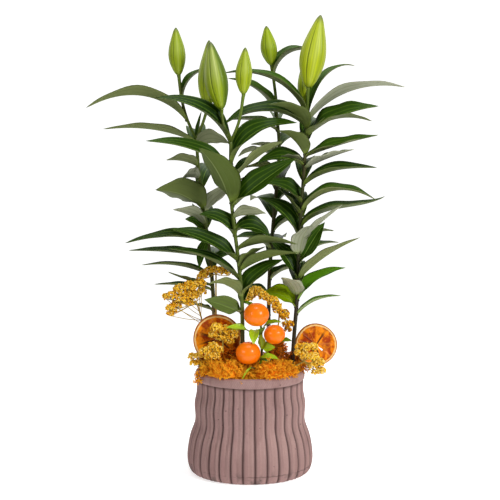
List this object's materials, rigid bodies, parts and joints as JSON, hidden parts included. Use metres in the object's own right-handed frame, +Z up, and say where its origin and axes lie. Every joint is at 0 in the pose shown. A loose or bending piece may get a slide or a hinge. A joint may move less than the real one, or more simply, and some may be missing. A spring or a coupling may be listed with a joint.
{
  "type": "potted lily",
  "caption": "Lily plants in bud in a round ribbed clay pot, dressed with a calamondin sprig, dried orange slices, yarrow and moss.",
  "frame": {"origin": "centre of the pot's flat underside", "axes": "+Z up along the pot's axis, -Y to the front, +X to the right seen from the front"},
  "size_m": [0.3547, 0.1866, 0.511],
  "materials": {
    "mauve_clay": "matte mauve-brown unglazed clay with pinholes",
    "potting_soil": "dark crumbly peat",
    "lily_green": "satin green leaf with paler underside",
    "bud_green": "satin yellow-green bud",
    "calamondin_green": "satin yellow-green leaf",
    "calamondin_peel": "glossy dimpled citrus peel",
    "dried_orange": "dried translucent citrus flesh and rind",
    "yarrow_gold": "dry granular flower heads",
    "moss_rust": "soft branching reindeer moss"
  },
  "bodies": {
    "root": {"pot": "mauve_clay", "potting_soil": "potting_soil", "lily_stem_left": "lily_green", "lily_stem_front": "lily_green", "lily_stem_middle": "lily_green", "lily_stem_right": "lily_green", "bud_left": "bud_green", "bud_left_twin": "bud_green", "bud_front": "bud_green", "bud_front_small": "bud_green", "bud_middle": "bud_green", "bud_right": "bud_green", "bud_right_rear": "bud_green", "calamondin_sprig": "calamondin_green", "calamondin_top": "calamondin_peel", "calamondin_right": "calamondin_peel", "calamondin_low": "calamondin_peel", "orange_slice_left": "dried_orange", "orange_slice_right": "dried_orange", "yarrow_left": "yarrow_gold", "yarrow_upper": "yarrow_gold", "yarrow_slice": "yarrow_gold", "yarrow_front": "yarrow_gold", "yarrow_side": "yarrow_gold", "yarrow_right": "yarrow_gold", "yarrow_bowed": "yarrow_gold", "moss_front_left": "moss_rust", "moss_front_right": "moss_rust", "moss_middle": "moss_rust", "moss_right": "moss_rust", "moss_left": "moss_rust", "moss_back": "moss_rust"}
  },
  "joints": []
}
